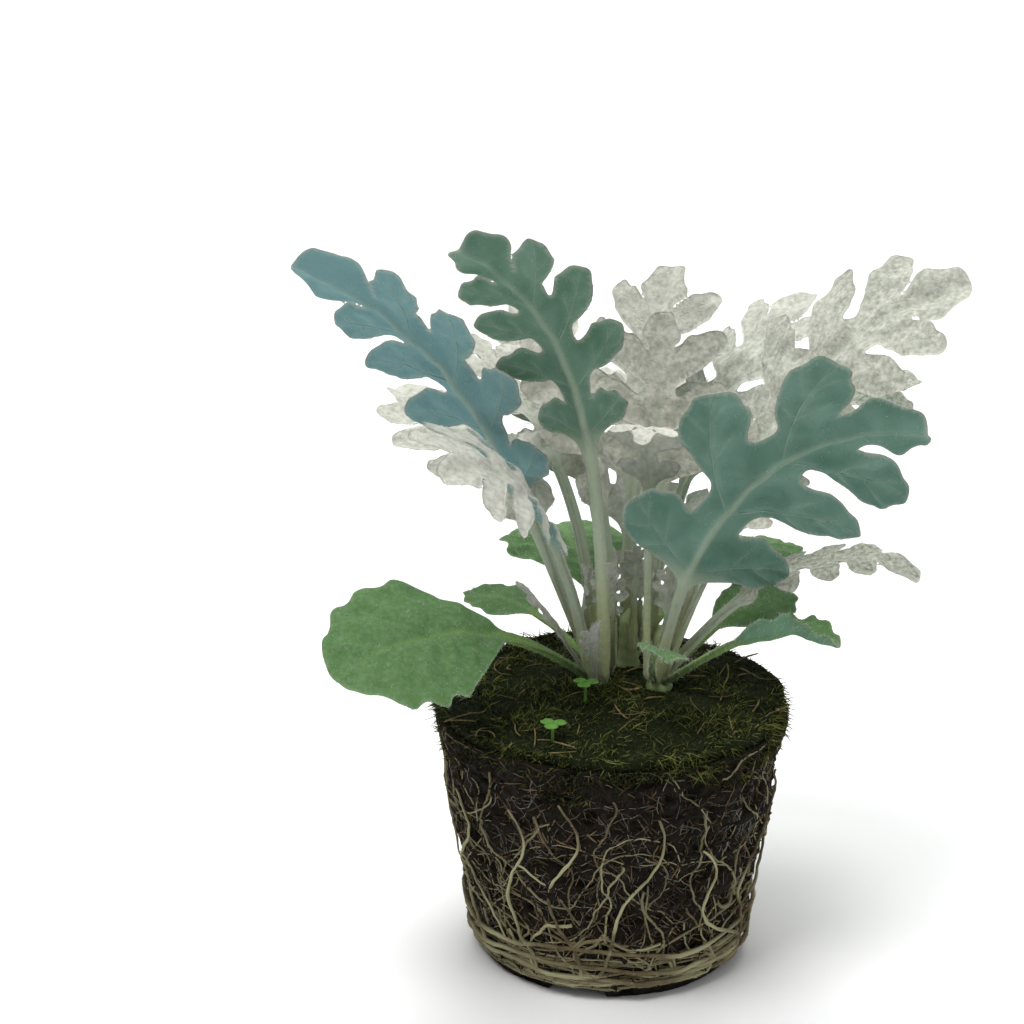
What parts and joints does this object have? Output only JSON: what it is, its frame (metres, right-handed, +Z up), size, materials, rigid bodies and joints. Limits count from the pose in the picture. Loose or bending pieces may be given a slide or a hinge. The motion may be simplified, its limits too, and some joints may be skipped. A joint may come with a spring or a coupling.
{
  "type": "dusty miller plant",
  "caption": "Silver-leaved dusty miller plant without a pot, standing on its own root ball of soil and roots, with a moss top and tiny seedlings.",
  "frame": {"origin": "centre of the root ball's flat foot, on the table, under the plug's axis", "axes": "+Z up along the root ball's axis, +Y away from the viewer of the picture, +X to the viewer's right"},
  "size_m": [0.1534, 0.1202, 0.1791],
  "materials": {
    "soil": "dark crumbly potting soil",
    "root": "tan matt roots",
    "moss": "short dark green moss",
    "stalk": "pale green stem with a short felt",
    "felt": "leaf with white felt above and a blue-green underside",
    "green_leaf": "green leaf with sparse white hairs",
    "seedling": "bright green young leaf"
  },
  "bodies": {
    "root": {"root_ball": "soil", "roots": "root", "moss_mat": "moss", "shoot_left": "stalk", "shoot_right": "stalk", "shoot_back": "stalk", "leaf_long_left": "felt", "leaf_white_left": "felt", "leaf_young_left": "felt", "leaf_feather": "felt", "leaf_spike": "felt", "leaf_green_left": "green_leaf", "leaf_baby_left": "felt", "leaf_baby_front": "felt", "leaf_back_left": "felt", "leaf_low_left": "green_leaf", "leaf_big_right": "felt", "leaf_oak": "felt", "leaf_curled": "felt", "leaf_grey_right": "felt", "leaf_dark_right": "felt", "leaf_green_right": "felt", "leaf_low_right": "green_leaf", "leaf_small_right": "felt", "leaf_round_right": "green_leaf", "leaf_front_right": "green_leaf", "leaf_back_tall": "felt", "leaf_back_mid": "felt", "leaf_back_fan": "felt", "leaf_back_far": "felt", "leaf_back_low": "green_leaf", "leaf_back_right": "felt", "leaf_back_green": "green_leaf", "seedling_crown": "seedling", "seedling_rim": "seedling"}
  },
  "joints": []
}
